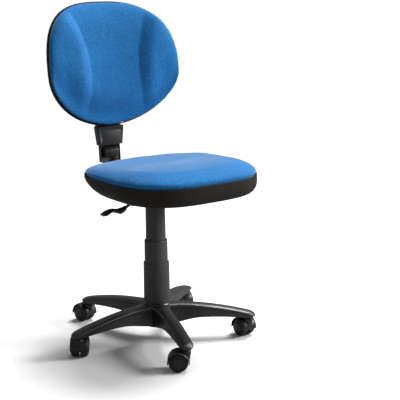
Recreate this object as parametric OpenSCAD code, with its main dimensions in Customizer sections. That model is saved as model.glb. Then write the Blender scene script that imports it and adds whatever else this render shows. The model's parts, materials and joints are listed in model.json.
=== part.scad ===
// Swivel office chair with a five-leg base on twin-wheel casters, a gas lift
// inside telescopic covers, a recline mechanism, and an upholstered seat and back.
// Millimetres. +Z is up, the sitter faces -Y, and the sitter's right is -X.
// The origin is on the floor, on the axis of the column.

/* [Base] */
// Distance from the column's axis to the tip of each leg
base_r = 281; // [230:1:340]
// Width of each leg
leg_w = 40; // [32:1:50]
// Wall of the hollow legs
leg_wall = 3; // [2:0.5:5]
// How far the top of a leg falls from the hub to the tip
leg_fall = 36; // [20:1:45]
// Outer radius of the hub
hub_r = 41; // [38:1:52]
// Height of the hub
hub_h = 68; // [50:1:80]
// Direction of the first leg, in degrees from +X
leg_turn = 36.9; // [0:0.1:72]

/* [Casters] */
// Diameter of the wheels
wheel_d = 52; // [44:1:64]
// Width of one wheel
wheel_w = 20.5; // [16:0.5:26]
// Thickness of the web between the two wheels
web_t = 7; // [5:0.5:10]
// Distance from the stem's axis to the axle
trail = 20; // [14:1:24]
// Radial gap between the wheels and the hood
hood_gap = 1.3; // [0.8:0.1:2.5]
// Wall of the hood
hood_wall = 1.7; // [1.2:0.1:3]
// Diameter of the stems
stem_d = 11; // [8:0.5:13]
// Length of the stem inside the leg
stem_len = 18; // [12:1:22]
// Diameter of the axles
axle_d = 6; // [4:0.5:8]
// Directions in which the five casters trail, in degrees from +X
caster_turns = [84, 104, 54, 144, 92];

/* [Lift] */
// Height of the mechanism above the hub
lift_h = 287; // [240:1:330]
// Outer diameter of the lift's outer tube
tube_d = 50; // [44:1:54]
// Wall of the lift's outer tube
tube_wall = 1.8; // [1.2:0.1:3]
// How far the outer tube stands out of the hub
tube_out = 142; // [120:1:170]
// Diameter of the gas cylinder
gas_d = 28; // [24:0.5:32]
// Wall of the gas cylinder
gas_wall = 2; // [1.5:0.1:3]
// Diameter of the piston rod
rod_d = 10; // [8:0.5:12]
// Diameter of the release button
button_d = 8; // [6:0.5:10]
// How far the lift can be lowered
lift_down = 95; // [60:1:100]
// How far the lift can still be raised
lift_up = 25; // [10:1:30]

/* [Covers] */
// Outer diameter of the upper cover
cover_d = 57; // [56:0.5:60]
// Step in diameter from one cover to the next
cover_step = 9; // [8:0.5:12]
// Wall of the covers
cover_wall = 2; // [1.5:0.1:2.5]
// Length of the lower cover
cover_low_h = 116; // [100:1:130]
// How much of the middle cover is seen
cover_mid_seen = 65; // [50:1:80]

/* [Mechanism] */
// Width of the mechanism's housing
mech_w = 100; // [90:1:120]
// Height of the mechanism's housing
mech_h = 46; // [42:1:60]
// Thickness of its steel plate
plate_t = 3; // [2:0.5:4]
// Width of the seat plate
seat_plate_w = 160; // [140:1:190]
// Diameter of the recline pin
pin_d = 10; // [8:0.5:12]
// Distance of the recline pin behind the column's axis
pin_y = 70; // [64:1:76]
// Wire of the recline spring
spring_wire = 4; // [3:0.5:5]
// Diameter of the lever's rod
lever_d = 8; // [6:0.5:9]
// Distance from the column's axis to the tip of the lever
lever_reach = 175; // [150:1:200]
// Distance from the column's axis to the lever's pivot
lever_arm = 40; // [34:1:44]
// Width of the lever's handle
handle_w = 24; // [16:1:32]

/* [Seat] */
// Width of the seat
seat_w = 425; // [380:1:520]
// Depth of the seat
seat_d = 416; // [380:1:500]
// Distance of the seat's middle ahead of the column
seat_ahead = 78; // [50:1:100]
// Height of the seat's underside shell
pan_h = 50; // [44:1:60]
// Height of the cushion above the shell
pad_h = 20; // [16:1:60]
// Thickness of the seat board
board_t = 12; // [9:1:15]
// Distance of the seat bolts outside the sides of the mechanism
bolt_out = 10; // [8:1:12]
// Spacing of the seat bolts from front to rear
bolt_y = 150; // [120:1:160]
// Diameter of the seat bolts
bolt_d = 6; // [5:0.5:8]
// Spacing of the two armrest inserts on each side
arm_span = 140; // [100:1:170]
// Distance of the armrest inserts from the middle
arm_x = 150; // [120:1:160]

/* [Back] */
// Width of the backrest
back_w = 425; // [340:1:480]
// Height of the backrest above its widest level
back_up = 232; // [170:1:250]
// Height of the backrest below its widest level
back_low = 128; // [112:1:170]
// Radius of the backrest's curve around the sitter
back_r = 500; // [340:1:600]
// Thickness of the back cushion
back_pad = 34; // [26:1:60]
// Thickness of the back board
back_board_t = 6; // [4:1:10]
// Lean of the backrest, in degrees
back_lean = 9; // [5:1:14]
// Height of the backrest's middle above the mechanism
back_rise = 329; // [290:1:400]
// Distance of the backrest's middle behind the column
back_y = 245; // [235:1:300]
// How far the backrest can be lowered
back_down = 25; // [10:1:25]
// How far the backrest can be raised
back_raise = 20; // [10:1:20]

/* [Back bar] */
// Width of the steel bar
bar_w = 50; // [40:1:54]
// Thickness of the steel bar
bar_t = 6; // [5:0.5:7]
// Lean of the bar's upright, in degrees
bar_lean = 4; // [0:1:8]
// Distance of the upright behind the column, at the foot of the backrest
bar_back = 246; // [240:1:290]
// Radius of the bend in the bar
bend_r = 22; // [16:1:40]

/* [Hidden] */
$fn = 64;

// Clearances
run_gap = 0.05;     // shaft in its bore, on the radius
slide_gap = 0.3;    // parts that slide past each other
soft_gap = 0.3;     // cushion to its neighbours
cut = 1;            // extra length of a cut past the face it opens

// Casters and base
axle_z = wheel_d / 2;
hood_r = axle_z + hood_gap + hood_wall;
hood_in = axle_z + hood_gap;
boss_r = stem_d / 2 + 4;
stand_off = 3;
boss_top = axle_z + hood_r + stand_off;
socket_z = boss_top + 0.5;
cap_t = 2.5;
tip_top = socket_z + stem_len + cap_t;
caster_r = base_r - leg_w / 2;
leg_bow = 2.2;
leg_crown = tip_top + leg_fall * pow(caster_r / base_r, leg_bow);
hub_top = leg_crown + 3.5;
hub_z = hub_top - hub_h;
wheel_in = web_t / 2 + 0.5;
wheel_out = wheel_in + wheel_w;
leg_steps = 12;
leg_arch = 7;
rib_pitch = 38;
rib_t = 2;
rib_y = (leg_w / 2 - leg_wall) / 3 + rib_t / 6;

// Lift, from the bottom up
tube_r = tube_d / 2;
tube_in = tube_r - tube_wall;
hub_taper = 0.014;
tube_z = hub_z + 3;
tube_top = hub_top + tube_out;
tube_floor = 3;
race_t = 1.5;
ball_d = 4;
ball_turn_r = rod_d / 2 + 3.3;
race_z = tube_z + tube_floor;
race_top = race_z + 2 * race_t + ball_d;
collar_t = 3;
bush_h = 30;
bush_lip = 2.5;
gas_r = gas_d / 2;
gas_in = gas_r - gas_wall;
mech_z = hub_top + lift_h;
socket_low = mech_z - 33;
socket_h = 38;
socket_wall = 6;
gas_top = socket_low + socket_h + 2;
gas_taper = 0.02;
gas_seal = 14;
gas_z = race_top + collar_t + lift_down + 9;
piston_z = gas_z + gas_seal + lift_up + 3;
piston_h = 14;
button_out = 5.5;
button_in = 7;
button_well = 14;

// Covers
cover_r = cover_d / 2;
cover_mid_r = cover_r + cover_step / 2 + 0.5;
cover_low_r = cover_mid_r + cover_step / 2 - 0.5;
cover_low_top = hub_top + cover_low_h;
cover_mid_top = cover_low_top + cover_mid_seen;
cover_lap = 37;
cover_lip = 4;

// Mechanism
mech_top = mech_z + mech_h;
mech_front = 50;
mech_rear = 85;
plate_front = 150;
plate_rear = 65;
pin_z = mech_z + 15;
floor_half = gas_r + socket_wall + 6;
ear_t = 4;
nose_gap = 0.4;
lever_z = gas_top + button_out + nose_gap + lever_d / 2;
lever_knee = 62;
lever_drop = 18;
handle_start = 98;
handle_t = 9;
lever_pin_d = 4;

// Seat
pan_wall = 3;
pan_tuck = 17;
pan_tuck_side = 38;
pan_tuck_rear = 95;
seat_n = 3;
board_z = mech_top + 24;
board_inset = 32;
board_top = board_z + board_t;
rim_z = mech_top + pan_h;
bolt_x = mech_w + 2 * bolt_out;
bolt_mid = -60;
insert_d = 10;
thread_d = 6;
flange_d = 19;
flange_t = 1.2;

// Back, in its own leaning frame: x across, y to the rear, z up the lean
back_z = mech_top + back_rise;
top_n = 2.9;
low_n = 1.6;
widest = -57;
board_y = 6;
pad_front = back_pad - board_y;
board_rear = board_y + back_board_t;
shell_y = board_rear + 1;
shell_t = 3;
rim_y = -2;
rim_wall = 3;
pocket_w = bar_w + 46;
pocket_gap = 1.6;
pocket_top = -35;

// Upright, in the bar's own frame: y to the rear, z up the bar from the backrest's foot
foot_z = back_z + (widest - back_low) * cos(back_lean);
bar_low = mech_z - 17;
bar_top = 93;
bend_steps = 10;
guide_low = 37;
guide_top = 86;
guide_w = bar_w + 14;
guide_rear = bar_t / 2 + 4;
sleeve_low = -109;
sleeve_mid = -32;
sleeve_end = -59;
sleeve_top = -3;
sleeve_wall = 2.5;
tongue_top = 34;
sleeve_rear = bar_t / 2 + 6.5;
pocket_depth = (bar_back - back_y + sleeve_rear + (back_low - widest) * sin(back_lean))
    / cos(back_lean) + pocket_gap + shell_t;

// ---- helpers ----

// Turns a flat outline drawn in (y, z) into a slab across X
module across(width) {
    rotate([90, 0, 90]) linear_extrude(height = width, center = true) children();
}

// Ring around Z between two heights
module ring(r_out, r_in, z0, z1) {
    translate([0, 0, z0]) difference() {
        cylinder(h = z1 - z0, r = r_out);
        translate([0, 0, -cut]) cylinder(h = z1 - z0 + 2 * cut, r = r_in);
    }
}

module each_leg(i) {
    rotate([0, 0, leg_turn + 72 * i]) children();
}

// Local frame of caster i: stem on the Z axis, trailing towards +X
module at_caster(i) {
    each_leg(i) translate([caster_r, 0, 0])
        rotate([0, 0, caster_turns[i] - leg_turn - 72 * i]) children();
}

// A point of a rounded square with half sizes a and b
function round_point(a, b, n, t) = [
    a * sign(cos(t)) * pow(abs(cos(t)), 2 / n),
    b * sign(sin(t)) * pow(abs(sin(t)), 2 / n)];

// Seat outline shrunk by its own amount at the sides, in front and behind
function seat_points(side, front, rear) = [
    for (t = [2.5:5:357.5])
        let (p = round_point(seat_w / 2 - side, (seat_d - front - rear) / 2, seat_n, t))
        [p[0], p[1] - seat_ahead - (rear - front) / 2]];

// Closed body through seat outlines, each given as [z, side, front, rear]
module seat_body(levels) {
    rings = [for (l = levels) [for (p = seat_points(l[1], l[2], l[3])) [p[0], p[1], l[0]]]];
    n = len(rings[0]);
    last = len(levels) - 1;
    points = [for (r = rings) each r];
    faces = concat(
        [[for (j = [0:n - 1]) j]],
        [for (i = [0:last - 1], j = [0:n - 1]) [i * n + j, (i + 1) * n + j, (i + 1) * n + (j + 1) % n]],
        [for (i = [0:last - 1], j = [0:n - 1]) [i * n + j, (i + 1) * n + (j + 1) % n, i * n + (j + 1) % n]],
        [[for (j = [n - 1:-1:0]) last * n + j]]);
    polyhedron(points, faces);
}

// Backrest outline in (x, z): flatter above its widest level, pointed below it
module back_outline(tuck) {
    polygon([for (t = [2:4:358])
        let (high = sin(t) > 0,
             p = round_point(back_w / 2 - tuck, (high ? back_up : back_low) - tuck,
                             high ? top_n : low_n, t))
        [p[0], p[1] + widest]]);
}

// Slab with the backrest's outline, between two depths of its curve
module back_slab(y0, y1, tuck) {
    intersection() {
        rotate([90, 0, 0]) linear_extrude(height = 600, center = true) back_outline(tuck);
        translate([0, -back_r, -400]) difference() {
            cylinder(h = 800, r = back_r + y1, $fn = 180);
            translate([0, 0, -cut]) cylinder(h = 800 + 2 * cut, r = back_r + y0, $fn = 180);
        }
    }
}

module in_back() {
    translate([0, back_y, back_z]) rotate([-back_lean, 0, 0]) children();
}

module in_bar() {
    translate([0, bar_back, foot_z]) rotate([-bar_lean, 0, 0]) children();
}

// Box centred across
module wide_box(width, y0, y1, z0, z1) {
    translate([-width / 2, y0, z0]) cube([width, y1 - y0, z1 - z0]);
}

module at_seat_bolts() {
    for (x = [-bolt_x / 2, bolt_x / 2], y = [-bolt_y / 2, bolt_y / 2])
        translate([x, bolt_mid + y, 0]) children();
}

module at_arm_inserts() {
    for (x = [-arm_x, arm_x], y = [-arm_span / 2, arm_span / 2])
        translate([x, y - seat_ahead, 0]) children();
}

// Screws through the guide's flanges, square to the board
module at_guide_screws() {
    for (x = [-1, 1], z = [-118, -94])
        translate([x * (guide_w / 2 + 5), 0, z]) rotate([-90, 0, 0]) children();
}

// Radial screws through the back shell into the board
module at_shell_screws() {
    for (turn = [-16, 16], z = [-80, 70])
        translate([0, -back_r, z]) rotate([0, 0, turn]) rotate([-90, 0, 0]) children();
}

// ---- base ----

function leg_top(r) = leg_crown - leg_fall * pow(r / base_r, leg_bow);
function leg_under(r) = socket_z + leg_arch * sin(180 * (r - hub_r) / (base_r - hub_r));

module leg_block(tuck) {
    step = (base_r - hub_r + 10) / leg_steps;
    radii = [for (i = [0:leg_steps]) hub_r - 10 + step * i];
    under = tuck > 0 ? -10 : 0;
    intersection() {
        rotate([90, 0, 0]) linear_extrude(height = 2 * leg_w, center = true)
            polygon(concat(
                [for (r = radii) [r, leg_top(r) - tuck]],
                [for (i = [leg_steps:-1:0]) [radii[i], leg_under(max(radii[i], hub_r)) + under]]));
        linear_extrude(height = hub_top) {
            translate([0, -leg_w / 2 + tuck]) square([caster_r, leg_w - 2 * tuck]);
            translate([caster_r, 0]) circle(r = leg_w / 2 - tuck);
        }
    }
}

module leg() {
    difference() {
        leg_block(0);
        difference() {
            leg_block(leg_wall);
            translate([caster_r, 0, 0]) cylinder(h = hub_top, r = boss_r);
            for (x = [hub_r + rib_pitch:rib_pitch:caster_r - boss_r])
                translate([x, -leg_w / 2, leg_under(x) + 5]) cube([rib_t, leg_w, hub_h]);
            for (side = [-1, 1])
                translate([hub_r - 10, side * rib_y - rib_t / 2, socket_z + leg_arch])
                    cube([caster_r - hub_r, rib_t, hub_h]);
        }
        translate([caster_r, 0, socket_z - cut])
            cylinder(h = stem_len + 0.5 + cut, r = stem_d / 2 + run_gap);
    }
}

module star_base() {
    color([0.13, 0.13, 0.14]) difference() {
        union() {
            for (i = [0:4]) each_leg(i) leg();
            translate([0, 0, hub_z]) cylinder(h = hub_h, r = hub_r);
        }
        translate([0, 0, hub_z - cut]) cylinder(
            h = hub_h + 2 * cut,
            r1 = tube_r - hub_taper * (hub_h + cut),
            r2 = tube_r + hub_taper * cut);
    }
}

// ---- gas lift ----

module gas_lift_tube() {
    color([0.1, 0.1, 0.1]) rotate_extrude() difference() {
        polygon([
            [0, tube_z], [tube_r - hub_taper * (hub_top - tube_z), tube_z],
            [tube_r, hub_top], [tube_r, tube_top], [0, tube_top]]);
        translate([0, tube_z - cut]) square([rod_d / 2 + run_gap, tube_floor + 2 * cut]);
        translate([0, tube_z + tube_floor]) square([tube_in, tube_out + hub_h]);
    }
}

module lift_guide_bush() {
    color([0.85, 0.85, 0.8]) {
        rotate_extrude() translate([gas_r + run_gap, tube_top - bush_h])
            polygon([
                [0, 0], [tube_in - gas_r - run_gap, 0], [tube_in - gas_r - run_gap, bush_h],
                [tube_r - gas_r - run_gap, bush_h], [tube_r - gas_r - run_gap, bush_h + bush_lip],
                [0, bush_h + bush_lip]]);
    }
}

module thrust_bearing() {
    color([0.7, 0.7, 0.72]) {
        ring(ball_turn_r + 2.8, rod_d / 2 + 0.5, race_z, race_z + race_t);
        ring(ball_turn_r + 2.8, rod_d / 2 + 0.5, race_top - race_t, race_top);
        for (i = [0:7]) rotate([0, 0, 45 * i])
            translate([ball_turn_r, 0, race_z + race_t + ball_d / 2]) sphere(d = ball_d);
    }
}

module piston_rod() {
    color([0.75, 0.75, 0.77]) difference() {
        union() {
            translate([0, 0, tube_z - 3.5])
                cylinder(h = piston_z + piston_h - tube_z + 3.5, r = rod_d / 2);
            translate([0, 0, race_top + run_gap]) cylinder(h = collar_t, r = rod_d / 2 + 4);
        }
        ring(rod_d, rod_d / 2 - 0.8, tube_z - 2, tube_z - 1);
    }
}

module lift_piston() {
    color([0.2, 0.2, 0.2]) ring(gas_in - run_gap, rod_d / 2, piston_z, piston_z + piston_h);
}

module rod_clip() {
    color([0.5, 0.5, 0.5]) ring(rod_d / 2 + 4, rod_d / 2 - 0.8, tube_z - 2, tube_z - 1);
}

module gas_cylinder() {
    color([0.8, 0.8, 0.82]) rotate_extrude() difference() {
        polygon([
            [0, gas_z], [gas_r, gas_z], [gas_r, socket_low],
            [gas_r - gas_taper * (gas_top - socket_low), gas_top], [0, gas_top]]);
        translate([0, gas_z - cut]) square([rod_d / 2 + run_gap, gas_seal + 2 * cut]);
        translate([0, gas_z + gas_seal])
            square([gas_in, gas_top - gas_z - gas_seal - button_well - 6]);
        translate([0, gas_top - button_well])
            square([button_d / 2 + run_gap, button_well + cut]);
    }
}

module release_button() {
    color([0.3, 0.3, 0.3]) translate([0, 0, gas_top - button_in])
        cylinder(h = button_in + button_out, r = button_d / 2);
}

// Telescopic cover with a foot flange and an inward lip at the top
module cover(r, z0, z1, foot, lip) {
    color([0.16, 0.16, 0.17]) {
        ring(r, r - cover_wall, z0, z1);
        if (foot > r) ring(foot, r - cover_wall / 2, z0, z0 + cover_lip);
        if (lip < r) ring(r - cover_wall / 2, lip, z1 - cover_lip, z1);
    }
}

module cover_lower() {
    cover(cover_low_r, hub_top, cover_low_top, 0, cover_mid_r + slide_gap);
}

module cover_middle() {
    cover(cover_mid_r, cover_low_top - cover_lap, cover_mid_top,
          cover_low_r - cover_wall - slide_gap, cover_r + slide_gap);
}

module cover_upper() {
    cover(cover_r, cover_mid_top - cover_lap, mech_z - 2,
          cover_mid_r - cover_wall - slide_gap, cover_r);
}

// ---- casters ----

// The space that the wheels turn in, on both sides of the web
module wheel_space() {
    for (side = [-1, 1])
        translate([trail, side * (web_t / 2 + 50), axle_z]) rotate([90, 0, 0])
            cylinder(h = 100, r = hood_in, center = true);
}

module caster_housing(i) {
    color([0.09, 0.09, 0.1]) at_caster(i) difference() {
        union() {
            intersection() {
                translate([trail, 0, axle_z]) rotate([90, 0, 0])
                    cylinder(h = 2 * wheel_out, r = hood_r, center = true);
                translate([trail - hood_r, -wheel_out, axle_z - 2])
                    cube([2 * hood_r, 2 * wheel_out, hood_r + 2]);
            }
            translate([trail, 0, axle_z]) rotate([90, 0, 0])
                cylinder(h = web_t, r = axle_d + 6, center = true);
            translate([0, 0, axle_z]) cylinder(h = boss_top - axle_z, r = boss_r);
        }
        wheel_space();
        translate([trail, 0, axle_z]) rotate([90, 0, 0])
            cylinder(h = web_t + 2 * cut, r = axle_d / 2, center = true);
        translate([0, 0, boss_top - 8]) cylinder(h = 8 + cut, r = stem_d / 2);
    }
}

module caster_stem(i) {
    color([0.65, 0.65, 0.67]) at_caster(i) translate([0, 0, boss_top - 8])
        cylinder(h = socket_z + stem_len - boss_top + 8, r = stem_d / 2);
}

module caster_axle(i) {
    color([0.65, 0.65, 0.67]) at_caster(i) translate([trail, 0, axle_z]) rotate([90, 0, 0])
        cylinder(h = 2 * wheel_out - 9, r = axle_d / 2, center = true);
}

// Side is 1 for the left wheel and -1 for the right one, seen along the trail
module caster_wheel(i, side) {
    r = wheel_d / 2;
    w = wheel_w;
    color([0.07, 0.07, 0.08]) at_caster(i)
        translate([trail, side * wheel_in, axle_z]) rotate([-90 * side, 0, 0])
        rotate_extrude() difference() {
            polygon([
                [0, 0], [r - 1.5, 0], [r, 1.5], [r, w - 8], [r - 1.2, w - 4],
                [r - 4, w - 1.8], [r - 10, w - 0.5], [0, w]]);
            translate([0, -cut])
                square([axle_d / 2 + run_gap, wheel_w - 4 + cut]);
        }
}

// ---- mechanism ----

module mechanism_housing() {
    depth = mech_front + mech_rear;
    color([0.08, 0.08, 0.08]) difference() {
        union() {
            translate([-mech_w / 2, -mech_front, mech_z]) cube([mech_w, depth, mech_h]);
            translate([-seat_plate_w / 2, -plate_front, mech_top - plate_t])
                cube([seat_plate_w, plate_front + plate_rear, plate_t]);
        }
        difference() {
            translate([-mech_w / 2 + plate_t, -mech_front + plate_t, mech_z - cut])
                cube([mech_w - 2 * plate_t, depth, mech_h - plate_t + cut]);
            translate([-mech_w / 2, -floor_half, mech_z])
                cube([mech_w, 2 * floor_half, plate_t]);
        }
        translate([0, 0, mech_z - cut])
            cylinder(h = plate_t + 2 * cut, r = gas_r + socket_wall);
        translate([0, pin_y, pin_z]) rotate([0, 90, 0])
            cylinder(h = mech_w + 2 * cut, r = pin_d / 2, center = true);
        translate([-mech_w / 2 - cut, -lever_d / 2 - 2, lever_z - lever_d / 2 - 4])
            cube([plate_t + 2 * cut, lever_d + 4, lever_d + 9]);
        translate([-lever_arm, 0, lever_z]) rotate([90, 0, 0])
            cylinder(h = 40, r = lever_pin_d / 2, center = true);
        at_seat_bolts() translate([0, 0, mech_top - plate_t - cut])
            cylinder(h = plate_t + 2 * cut, r = bolt_d / 2 + 0.3);
    }
    // Ears that hold the lever's pin
    color([0.08, 0.08, 0.08]) for (side = [-1, 1]) difference() {
        translate([-lever_arm - 7, side * (lever_d / 2 + 2.5) - 1, lever_z - 7])
            cube([14, 2, mech_top - plate_t - lever_z + 7]);
        translate([-lever_arm, 0, lever_z]) rotate([90, 0, 0])
            cylinder(h = 40, r = lever_pin_d / 2, center = true);
    }
}

module lift_socket() {
    color([0.1, 0.1, 0.1]) translate([0, 0, socket_low]) difference() {
        cylinder(h = socket_h, r = gas_r + socket_wall);
        translate([0, 0, -cut]) cylinder(
            h = socket_h + 2 * cut,
            r1 = gas_r + gas_taper * cut,
            r2 = gas_r - gas_taper * (socket_h + cut));
    }
}

module recline_pin() {
    color([0.6, 0.6, 0.62]) translate([0, pin_y, pin_z]) rotate([0, 90, 0])
        cylinder(h = mech_w + 6, r = pin_d / 2, center = true);
}

// Points of a wound wire around X
function coil_point(r, pitch, turn) = [pitch * turn, r * cos(360 * turn), r * sin(360 * turn)];

module recline_spring() {
    coil_r = pin_d / 2 + 2 + spring_wire / 2;
    turns = 7;
    steps = 16 * turns;
    sides = 8;
    pitch = spring_wire + 1;
    points = [for (i = [0:steps], j = [0:sides - 1])
        let (turn = i / 16,
             middle = coil_point(coil_r, pitch, turn),
             out = [0, cos(360 * turn), sin(360 * turn)],
             a = 360 * j / sides)
        middle + spring_wire / 2 * (cos(a) * out + sin(a) * [1, 0, 0])];
    faces = concat(
        [[for (j = [0:sides - 1]) j]],
        [for (i = [0:steps - 1], j = [0:sides - 1])
            let (k = (j + 1) % sides, a = i * sides)
            [a + j, a + sides + j, a + sides + k, a + k]],
        [[for (j = [sides - 1:-1:0]) steps * sides + j]]);
    color([0.4, 0.4, 0.42]) translate([-pitch * turns / 2, pin_y, pin_z])
        polyhedron(points, faces);
}

module lever_rod() {
    color([0.1, 0.1, 0.1]) difference() {
        union() {
            translate([-lever_knee, 0, lever_z]) rotate([0, 90, 0])
                cylinder(h = lever_knee, r = lever_d / 2);
            translate([0, 0, lever_z]) rotate([90, 0, 0])
                cylinder(h = lever_d, r = lever_d / 2, center = true);
            translate([-lever_knee, 0, lever_z]) sphere(d = lever_d + 1);
            translate([-lever_knee, 0, lever_z]) rotate([0, lever_tilt() - 90, 0])
                cylinder(h = lever_out(), r = lever_d / 2);
        }
        translate([-lever_arm, 0, lever_z]) rotate([90, 0, 0])
            cylinder(h = 20, r = lever_pin_d / 2 + run_gap, center = true);
    }
}

function lever_tilt() = -atan(lever_drop / (handle_start - lever_knee));
function lever_out() = norm([lever_drop, handle_start - lever_knee]) + 16;

module lever_pin() {
    color([0.6, 0.6, 0.62]) translate([-lever_arm, 0, lever_z]) rotate([90, 0, 0])
        cylinder(h = lever_d + 9, r = lever_pin_d / 2, center = true);
}

// Waving paddle with a notched tip, pushed over the rod's end
module lever_handle() {
    length = lever_reach - handle_start;
    steps = 16;
    z0 = lever_z - lever_drop;
    function wave(s) = z0 - 13 * s - 2.5 * sin(400 * s);
    function thick(s) = handle_t + 3 * sin(180 * s) - 2 * s;
    color([0.09, 0.09, 0.09]) difference() {
        intersection() {
            rotate([90, 0, 0]) linear_extrude(height = handle_w, center = true)
                polygon(concat(
                    [for (i = [0:steps]) let (s = i / steps)
                        [-handle_start - length * s, wave(s) + thick(s) / 2]],
                    [for (i = [steps:-1:0]) let (s = i / steps)
                        [-handle_start - length * s, wave(s) - thick(s) / 2]]));
            translate([0, 0, z0 - 100]) linear_extrude(height = 200) difference() {
                union() {
                    translate([-handle_start - 18, 0]) square([36, 15], center = true);
                    translate([-handle_start - 20 - handle_w / 2, 0]) circle(d = handle_w);
                    translate([-lever_reach + handle_w / 2, 0]) circle(d = handle_w);
                    translate([-lever_reach + handle_w / 2, -handle_w / 2])
                        square([length - 20 - handle_w, handle_w]);
                }
                translate([-lever_reach, 0]) circle(d = handle_w / 3);
            }
        }
        translate([-lever_knee, 0, lever_z]) rotate([0, lever_tilt() - 90, 0])
            cylinder(h = lever_out(), r = lever_d / 2);
    }
}

// ---- seat ----

module seat_bolts() {
    head = 4;
    color([0.5, 0.5, 0.52]) at_seat_bolts() {
        translate([0, 0, mech_top - plate_t - head]) cylinder(h = head, r = bolt_d);
        translate([0, 0, mech_top - plate_t])
            cylinder(h = board_top - mech_top + plate_t - flange_t, r = bolt_d / 2);
    }
}

module pan_space(wall, top) {
    seat_body([
        [mech_top + wall, pan_tuck_side + wall, pan_tuck + wall, pan_tuck_rear + wall],
        [mech_top + wall + 8, pan_tuck_side / 2 + wall, pan_tuck / 2 + wall,
         pan_tuck_rear * 0.75 + wall],
        [rim_z - 8, wall, wall, wall],
        [top, wall, wall, wall]]);
}

module seat_shell() {
    color([0.07, 0.07, 0.08]) difference() {
        pan_space(0, rim_z);
        difference() {
            pan_space(pan_wall, rim_z + cut);
            at_seat_bolts() cylinder(h = board_z, r = bolt_d + 6);
        }
        at_seat_bolts() cylinder(h = rim_z, r = bolt_d / 2 + 0.3);
        at_arm_inserts() cylinder(h = rim_z, r = insert_d / 2 + 2);
    }
}

module seat_board() {
    color([0.72, 0.55, 0.36]) difference() {
        translate([0, 0, board_z]) linear_extrude(height = board_t)
            polygon(seat_points(board_inset, board_inset, board_inset + 14));
        at_seat_bolts() {
            cylinder(h = board_top + cut, r = bolt_d / 2 + 1);
            translate([0, 0, board_top - flange_t])
                cylinder(h = flange_t + cut, r = flange_d / 2);
        }
        at_arm_inserts() cylinder(h = board_top + cut, r = insert_d / 2);
    }
}

// Flanged nuts let into the board from above
module tee_nuts() {
    color([0.6, 0.6, 0.62]) at_seat_bolts() {
        ring(bolt_d / 2 + 1, bolt_d / 2, board_top - board_t + 1, board_top - flange_t);
        translate([0, 0, board_top - flange_t]) cylinder(h = flange_t, r = flange_d / 2);
    }
}

module arm_inserts() {
    color([0.7, 0.6, 0.3]) at_arm_inserts()
        ring(insert_d / 2, thread_d / 2, board_z, board_top);
}

module seat_cushion() {
    color([0.1, 0.25, 0.55]) {
        translate([0, 0, board_top]) linear_extrude(height = rim_z - board_top + soft_gap + cut)
            polygon(seat_points(22, 22, 30));
        seat_body([
            [rim_z + soft_gap, 0, 0, 0],
            [rim_z + pad_h * 0.4, 0, 0, 0],
            [rim_z + pad_h * 0.75, 6, 6, 6],
            [rim_z + pad_h, 22, 22, 22]]);
    }
}

// ---- back ----

function bar_bend_point(y, z, r, turn) = [y + r * cos(turn), z + r * sin(turn)];

// Lower run, bend and upright of the bar
module back_bar() {
    front = pin_y + 15;
    low = bar_low - bar_t / 2;
    bend_z = bar_low + bend_r;
    bend_y = bar_back - (foot_z - bend_z) * tan(bar_lean) - bend_r / cos(bar_lean);
    turns = [-90:(90 - bar_lean) / bend_steps:-bar_lean + cut];
    inner = [for (t = turns) bar_bend_point(bend_y, bend_z, bend_r - bar_t / 2, t)];
    outer = [for (t = turns) bar_bend_point(bend_y, bend_z, bend_r + bar_t / 2, t)];
    top = [bar_back + bar_top * sin(bar_lean), foot_z + bar_top * cos(bar_lean)];
    half = [bar_t / 2 * cos(bar_lean), -bar_t / 2 * sin(bar_lean)];
    color([0.08, 0.08, 0.08]) across(bar_w)
        polygon(concat(
            [[front, low]], outer, [top + half, top - half],
            [for (i = [bend_steps:-1:0]) inner[i]], [[front, low + bar_t]]));
}

// Two ears welded to the bar's sides, turning on the recline pin
module bar_bracket() {
    low = bar_low - bar_t / 2;
    color([0.08, 0.08, 0.08]) difference() {
        for (side = [-1, 1])
            translate([side * (bar_w / 2 + ear_t / 2), 0, 0]) across(ear_t)
                polygon([
                    [pin_y - 15, low + 14], [pin_y - 15, pin_z + 15], [pin_y + 15, pin_z + 15],
                    [pin_y + 75, low + bar_t], [pin_y + 75, low], [pin_y - 1, low]]);
        translate([0, pin_y, pin_z]) rotate([0, 90, 0])
            cylinder(h = bar_w + 4 * ear_t, r = pin_d / 2 + run_gap, center = true);
    }
}

// Slab with sides that widen towards the top
module sleeve_block(low_w, high_w, y0, y1, z0, z1) {
    translate([0, y1, 0]) rotate([90, 0, 0]) linear_extrude(height = y1 - y0)
        polygon([[-low_w / 2, z0], [low_w / 2, z0], [high_w / 2, z1], [-high_w / 2, z1]]);
}

module upright_sleeve_lower() {
    w = bar_w + 16;
    front = -17;
    rear = bar_t / 2 + 3;
    color([0.1, 0.1, 0.1]) in_bar() difference() {
        wide_box(w, front, rear, sleeve_low, sleeve_mid);
        wide_box(w - 4, front + 2, -bar_t / 2 - 2, sleeve_low + 6, sleeve_mid - 3);
        wide_box(bar_w, -bar_t / 2, bar_t / 2, sleeve_low - cut, sleeve_mid + cut);
    }
}

module upright_sleeve_upper() {
    low_w = bar_w + 26;
    high_w = bar_w + 32;
    front = -21;
    rear = sleeve_rear;
    wall = sleeve_wall;
    color([0.1, 0.1, 0.1]) in_bar() difference() {
        union() {
            sleeve_block(low_w, high_w, front, rear, sleeve_end, sleeve_top);
            wide_box(low_w, -9, rear, sleeve_top - wall, tongue_top);
        }
        sleeve_block(low_w - 2 * wall, high_w - 2 * wall, front + wall, rear - wall,
                     sleeve_end - cut, sleeve_top - wall);
        wide_box(bar_w + 5, -bar_t / 2 - 1, rear - wall, sleeve_top - 2 * wall,
                 tongue_top + cut);
    }
}

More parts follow.
